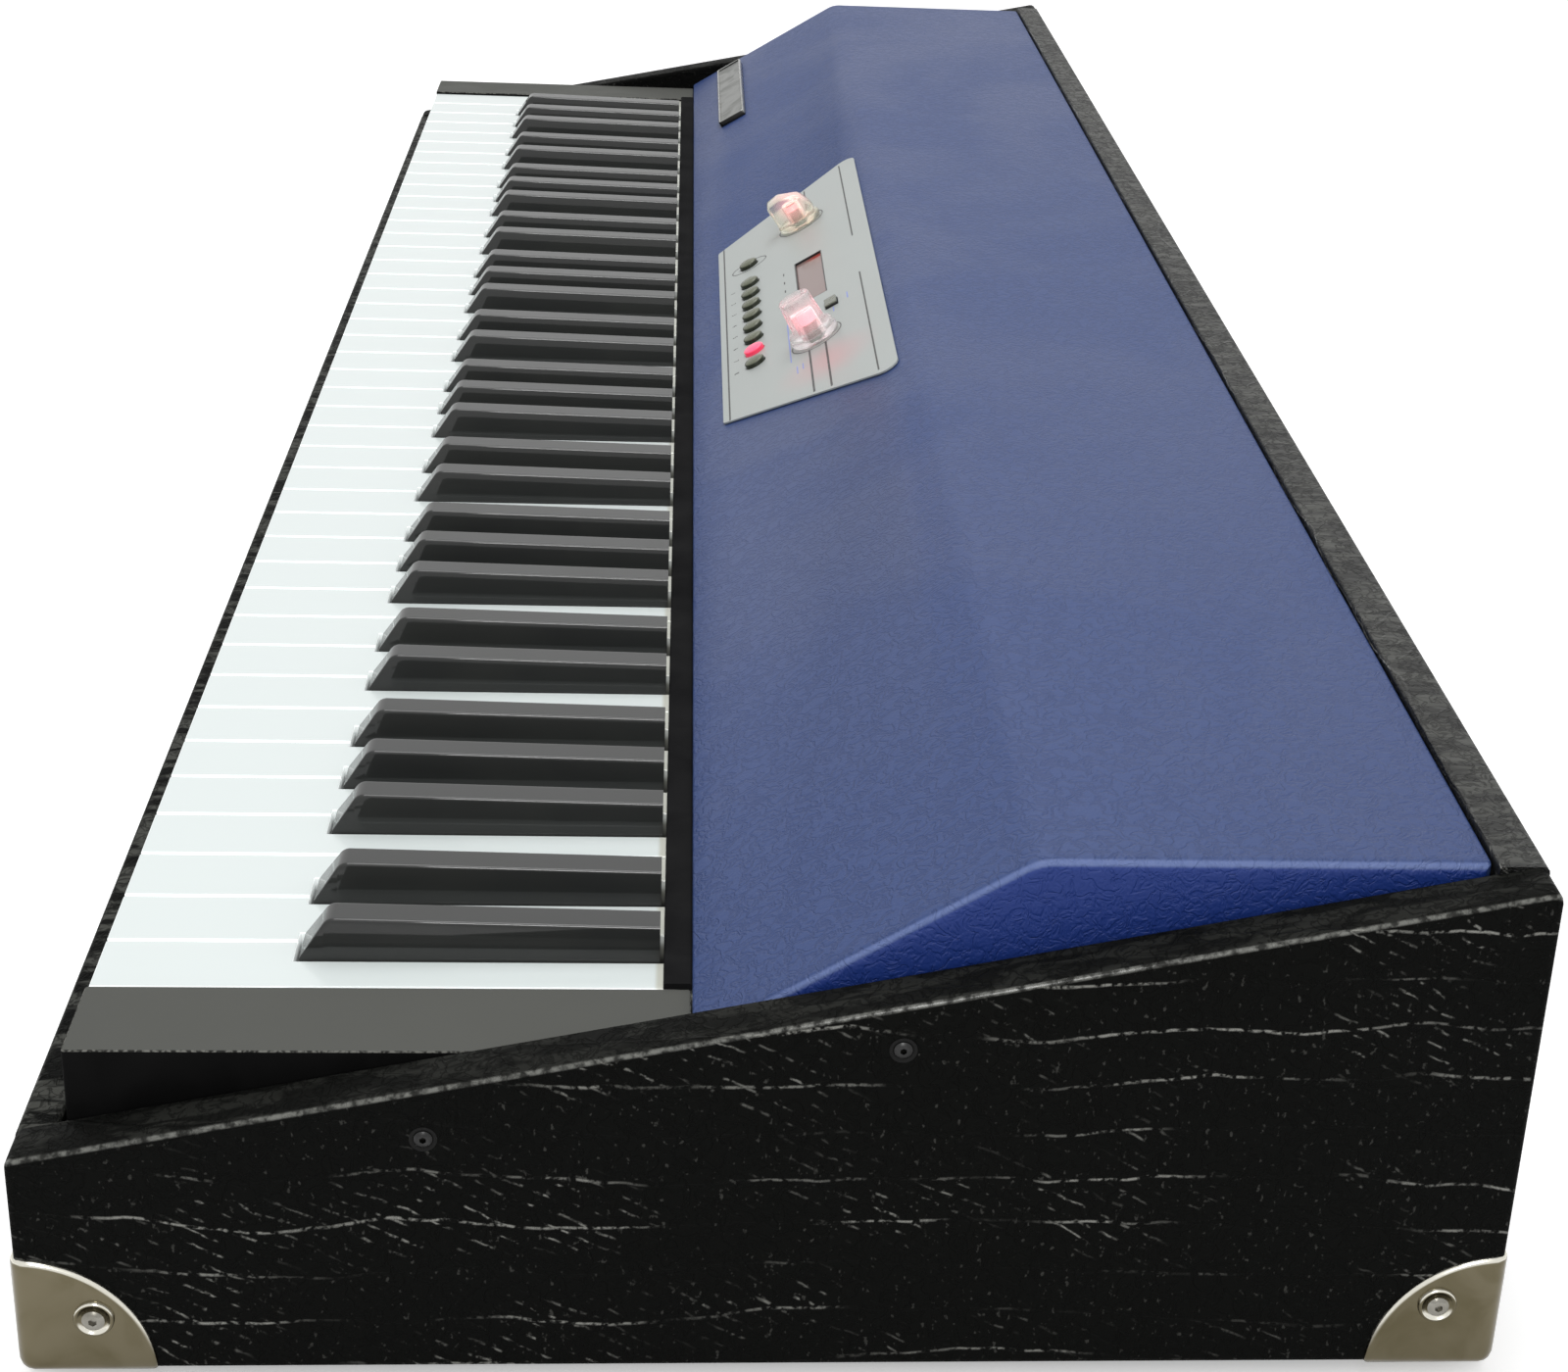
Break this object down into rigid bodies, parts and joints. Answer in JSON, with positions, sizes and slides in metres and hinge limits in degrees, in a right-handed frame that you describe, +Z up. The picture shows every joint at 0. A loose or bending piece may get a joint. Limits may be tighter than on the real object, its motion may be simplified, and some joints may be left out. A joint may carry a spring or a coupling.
{
  "type": "stage piano",
  "caption": "Stage piano in a black cloth-covered case with nickel corners, a blue sloped cover, a silver control panel, clear knobs and tilting keys.",
  "frame": {"origin": "on the floor under the middle of the case", "axes": "+X to the player's right along the keys, +Y away from the player, +Z up"},
  "size_m": [1.1122, 0.3762, 0.1459],
  "materials": {
    "case_cloth": "plywood under black embossed vinyl cloth",
    "cover_leatherette": "moulded shell under dark blue leather-grained vinyl",
    "corner_nickel": "pressed steel, worn nickel plating",
    "key_white": "glossy, cool white",
    "key_black": "black with a soft shine",
    "end_block_black": "matte black",
    "felt_black": "black felt",
    "frame_steel": "zinc plated",
    "panel_silver": "silver-grey paint, satin",
    "badge_metal": "bright, bare",
    "window_clear": "tinted display window",
    "knob_clear": "clear, moulded",
    "button_smoked": "smoked, translucent",
    "button_black": "black",
    "board_green": "circuit board with solder mask",
    "rubber_black": "black rubber",
    "plate_black": "black paint"
  },
  "bodies": {
    "case": {"base_board": "case_cloth", "front_rail": "case_cloth", "left_cheek": "case_cloth", "right_cheek": "case_cloth", "back_panel": "case_cloth", "front_left_corner": "corner_nickel", "front_right_corner": "corner_nickel", "rear_left_corner": "corner_nickel", "rear_right_corner": "corner_nickel", "front_left_foot": "rubber_black", "front_right_foot": "rubber_black", "rear_left_foot": "rubber_black", "rear_right_foot": "rubber_black", "key_frame": "frame_steel", "left_end_block": "end_block_black", "right_end_block": "end_block_black", "felt_strip": "felt_black", "control_panel": "panel_silver", "display_window": "window_clear", "badge_plate": "badge_metal", "control_board": "board_green", "top_cover": "cover_leatherette", "main_board": "board_green", "connector_plate": "plate_black"},
    "white_key_E6": {"white_key_E6": "key_white"},
    "white_key_F6": {"white_key_F6": "key_white"},
    "black_key_Fs6": {"black_key_Fs6": "key_black"},
    "white_key_G6": {"white_key_G6": "key_white"},
    "black_key_Gs6": {"black_key_Gs6": "key_black"},
    "white_key_A6": {"white_key_A6": "key_white"},
    "black_key_As6": {"black_key_As6": "key_black"},
    "white_key_B6": {"white_key_B6": "key_white"},
    "white_key_C7": {"white_key_C7": "key_white"},
    "black_key_Cs7": {"black_key_Cs7": "key_black"},
    "white_key_D7": {"white_key_D7": "key_white"},
    "black_key_Ds7": {"black_key_Ds7": "key_black"},
    "white_key_E7": {"white_key_E7": "key_white"},
    "white_keys_octave_1": {"white_keys_octave_1": "key_white"},
    "black_keys_octave_1": {"black_keys_octave_1": "key_black"},
    "white_keys_octave_2": {"white_keys_octave_2": "key_white"},
    "black_keys_octave_2": {"black_keys_octave_2": "key_black"},
    "white_keys_octave_3": {"white_keys_octave_3": "key_white"},
    "black_keys_octave_3": {"black_keys_octave_3": "key_black"},
    "white_keys_octave_4": {"white_keys_octave_4": "key_white"},
    "black_keys_octave_4": {"black_keys_octave_4": "key_black"},
    "white_keys_octave_5": {"white_keys_octave_5": "key_white"},
    "black_keys_octave_5": {"black_keys_octave_5": "key_black"},
    "panel_button_1": {"panel_button_1": "button_smoked"},
    "panel_button_2": {"panel_button_2": "button_smoked"},
    "panel_button_3": {"panel_button_3": "button_smoked"},
    "panel_button_4": {"panel_button_4": "button_smoked"},
    "panel_button_5": {"panel_button_5": "button_smoked"},
    "panel_button_6": {"panel_button_6": "button_smoked"},
    "panel_button_7": {"panel_button_7": "button_smoked"},
    "panel_button_8": {"panel_button_8": "button_smoked"},
    "panel_button_9": {"panel_button_9": "button_smoked"},
    "menu_button": {"menu_button": "button_black"},
    "value_knob": {"value_knob": "knob_clear"},
    "volume_knob": {"volume_knob": "knob_clear"},
    "power_switch": {"power_switch": "button_black"}
  },
  "joints": [
    {"name": "white_key_E6_tilt", "type": "hinge", "parent": "case", "child": "white_key_E6", "pos_m": [0.33, 0.0425, 0.083], "axis": [1, 0, 0], "range_deg": [0, 2.67], "stiffness_Nm_per_rad": 0.6, "springref_deg": -16.21},
    {"name": "white_key_F6_tilt", "type": "hinge", "parent": "case", "child": "white_key_F6", "pos_m": [0.35357, 0.0425, 0.083], "axis": [1, 0, 0], "range_deg": [0, 2.67], "stiffness_Nm_per_rad": 0.6, "springref_deg": -16.21},
    {"name": "black_key_Fs6_tilt", "type": "hinge", "parent": "case", "child": "black_key_Fs6", "pos_m": [0.36116, 0.0425, 0.083], "axis": [1, 0, 0], "range_deg": [0, 3.28], "stiffness_Nm_per_rad": 0.6, "springref_deg": -11.46},
    {"name": "white_key_G6_tilt", "type": "hinge", "parent": "case", "child": "white_key_G6", "pos_m": [0.37715, 0.0425, 0.083], "axis": [1, 0, 0], "range_deg": [0, 2.67], "stiffness_Nm_per_rad": 0.6, "springref_deg": -16.21},
    {"name": "black_key_Gs6_tilt", "type": "hinge", "parent": "case", "child": "black_key_Gs6", "pos_m": [0.38893, 0.0425, 0.083], "axis": [1, 0, 0], "range_deg": [0, 3.28], "stiffness_Nm_per_rad": 0.6, "springref_deg": -11.46},
    {"name": "white_key_A6_tilt", "type": "hinge", "parent": "case", "child": "white_key_A6", "pos_m": [0.40071, 0.0425, 0.083], "axis": [1, 0, 0], "range_deg": [0, 2.67], "stiffness_Nm_per_rad": 0.6, "springref_deg": -16.21},
    {"name": "black_key_As6_tilt", "type": "hinge", "parent": "case", "child": "black_key_As6", "pos_m": [0.4167, 0.0425, 0.083], "axis": [1, 0, 0], "range_deg": [0, 3.28], "stiffness_Nm_per_rad": 0.6, "springref_deg": -11.46},
    {"name": "white_key_B6_tilt", "type": "hinge", "parent": "case", "child": "white_key_B6", "pos_m": [0.42429, 0.0425, 0.083], "axis": [1, 0, 0], "range_deg": [0, 2.67], "stiffness_Nm_per_rad": 0.6, "springref_deg": -16.21},
    {"name": "white_key_C7_tilt", "type": "hinge", "parent": "case", "child": "white_key_C7", "pos_m": [0.44786, 0.0425, 0.083], "axis": [1, 0, 0], "range_deg": [0, 2.67], "stiffness_Nm_per_rad": 0.6, "springref_deg": -16.21},
    {"name": "black_key_Cs7_tilt", "type": "hinge", "parent": "case", "child": "black_key_Cs7", "pos_m": [0.45654, 0.0425, 0.083], "axis": [1, 0, 0], "range_deg": [0, 3.28], "stiffness_Nm_per_rad": 0.6, "springref_deg": -11.46},
    {"name": "white_key_D7_tilt", "type": "hinge", "parent": "case", "child": "white_key_D7", "pos_m": [0.47142, 0.0425, 0.083], "axis": [1, 0, 0], "range_deg": [0, 2.67], "stiffness_Nm_per_rad": 0.6, "springref_deg": -16.21},
    {"name": "black_key_Ds7_tilt", "type": "hinge", "parent": "case", "child": "black_key_Ds7", "pos_m": [0.48631, 0.0425, 0.083], "axis": [1, 0, 0], "range_deg": [0, 3.28], "stiffness_Nm_per_rad": 0.6, "springref_deg": -11.46},
    {"name": "white_key_E7_tilt", "type": "hinge", "parent": "case", "child": "white_key_E7", "pos_m": [0.495, 0.0425, 0.083], "axis": [1, 0, 0], "range_deg": [0, 2.67], "stiffness_Nm_per_rad": 0.6, "springref_deg": -16.21},
    {"name": "white_keys_octave_1_tilt", "type": "hinge", "parent": "case", "child": "white_keys_octave_1", "pos_m": [-0.42429, 0.0425, 0.083], "axis": [1, 0, 0], "range_deg": [0, 2.67], "stiffness_Nm_per_rad": 4.2, "springref_deg": -16.21},
    {"name": "black_keys_octave_1_tilt", "type": "hinge", "parent": "case", "child": "black_keys_octave_1", "pos_m": [-0.40126, 0.0425, 0.083], "axis": [1, 0, 0], "range_deg": [0, 3.28], "stiffness_Nm_per_rad": 3, "springref_deg": -11.46},
    {"name": "white_keys_octave_2_tilt", "type": "hinge", "parent": "case", "child": "white_keys_octave_2", "pos_m": [-0.25929, 0.0425, 0.083], "axis": [1, 0, 0], "range_deg": [0, 2.67], "stiffness_Nm_per_rad": 4.2, "springref_deg": -16.21},
    {"name": "black_keys_octave_2_tilt", "type": "hinge", "parent": "case", "child": "black_keys_octave_2", "pos_m": [-0.23627, 0.0425, 0.083], "axis": [1, 0, 0], "range_deg": [0, 3.28], "stiffness_Nm_per_rad": 3, "springref_deg": -11.46},
    {"name": "white_keys_octave_3_tilt", "type": "hinge", "parent": "case", "child": "white_keys_octave_3", "pos_m": [-0.09429, 0.0425, 0.083], "axis": [1, 0, 0], "range_deg": [0, 2.67], "stiffness_Nm_per_rad": 4.2, "springref_deg": -16.21},
    {"name": "black_keys_octave_3_tilt", "type": "hinge", "parent": "case", "child": "black_keys_octave_3", "pos_m": [-0.07126, 0.0425, 0.083], "axis": [1, 0, 0], "range_deg": [0, 3.28], "stiffness_Nm_per_rad": 3, "springref_deg": -11.46},
    {"name": "white_keys_octave_4_tilt", "type": "hinge", "parent": "case", "child": "white_keys_octave_4", "pos_m": [0.07071, 0.0425, 0.083], "axis": [1, 0, 0], "range_deg": [0, 2.67], "stiffness_Nm_per_rad": 4.2, "springref_deg": -16.21},
    {"name": "black_keys_octave_4_tilt", "type": "hinge", "parent": "case", "child": "black_keys_octave_4", "pos_m": [0.09373, 0.0425, 0.083], "axis": [1, 0, 0], "range_deg": [0, 3.28], "stiffness_Nm_per_rad": 3, "springref_deg": -11.46},
    {"name": "white_keys_octave_5_tilt", "type": "hinge", "parent": "case", "child": "white_keys_octave_5", "pos_m": [0.23571, 0.0425, 0.083], "axis": [1, 0, 0], "range_deg": [0, 2.67], "stiffness_Nm_per_rad": 4.2, "springref_deg": -16.21},
    {"name": "black_keys_octave_5_tilt", "type": "hinge", "parent": "case", "child": "black_keys_octave_5", "pos_m": [0.25873, 0.0425, 0.083], "axis": [1, 0, 0], "range_deg": [0, 3.28], "stiffness_Nm_per_rad": 3, "springref_deg": -11.46},
    {"name": "panel_button_1_press", "type": "slide", "parent": "case", "child": "panel_button_1", "axis": [0, 0.5225, -0.8526], "range_m": [0, 0.0012], "stiffness_N_per_m": 300, "springref_m": -0.002},
    {"name": "panel_button_2_press", "type": "slide", "parent": "case", "child": "panel_button_2", "axis": [0, 0.5225, -0.8526], "range_m": [0, 0.0012], "stiffness_N_per_m": 300, "springref_m": -0.002},
    {"name": "panel_button_3_press", "type": "slide", "parent": "case", "child": "panel_button_3", "axis": [0, 0.5225, -0.8526], "range_m": [0, 0.0012], "stiffness_N_per_m": 300, "springref_m": -0.002},
    {"name": "panel_button_4_press", "type": "slide", "parent": "case", "child": "panel_button_4", "axis": [0, 0.5225, -0.8526], "range_m": [0, 0.0012], "stiffness_N_per_m": 300, "springref_m": -0.002},
    {"name": "panel_button_5_press", "type": "slide", "parent": "case", "child": "panel_button_5", "axis": [0, 0.5225, -0.8526], "range_m": [0, 0.0012], "stiffness_N_per_m": 300, "springref_m": -0.002},
    {"name": "panel_button_6_press", "type": "slide", "parent": "case", "child": "panel_button_6", "axis": [0, 0.5225, -0.8526], "range_m": [0, 0.0012], "stiffness_N_per_m": 300, "springref_m": -0.002},
    {"name": "panel_button_7_press", "type": "slide", "parent": "case", "child": "panel_button_7", "axis": [0, 0.5225, -0.8526], "range_m": [0, 0.0012], "stiffness_N_per_m": 300, "springref_m": -0.002},
    {"name": "panel_button_8_press", "type": "slide", "parent": "case", "child": "panel_button_8", "axis": [0, 0.5225, -0.8526], "range_m": [0, 0.0012], "stiffness_N_per_m": 300, "springref_m": -0.002},
    {"name": "panel_button_9_press", "type": "slide", "parent": "case", "child": "panel_button_9", "axis": [0, 0.5225, -0.8526], "range_m": [0, 0.0012], "stiffness_N_per_m": 300, "springref_m": -0.002},
    {"name": "menu_button_press", "type": "slide", "parent": "case", "child": "menu_button", "axis": [0, 0.5225, -0.8526], "range_m": [0, 0.0012], "stiffness_N_per_m": 300, "springref_m": -0.002},
    {"name": "value_knob_turn", "type": "hinge", "parent": "case", "child": "value_knob", "pos_m": [0.0645, 0.02675, 0.12603], "axis": [0, -0.5225, 0.8526], "continuous": true},
    {"name": "volume_knob_turn", "type": "hinge", "parent": "case", "child": "volume_knob", "pos_m": [-0.1084, 0.02675, 0.12603], "axis": [0, -0.5225, 0.8526], "range_deg": [-150, 150]},
    {"name": "power_switch_rock", "type": "hinge", "parent": "case", "child": "power_switch", "pos_m": [-0.37199, 0.1835, 0.078], "axis": [0, 0, 1], "range_deg": [0, 14]}
  ]
}
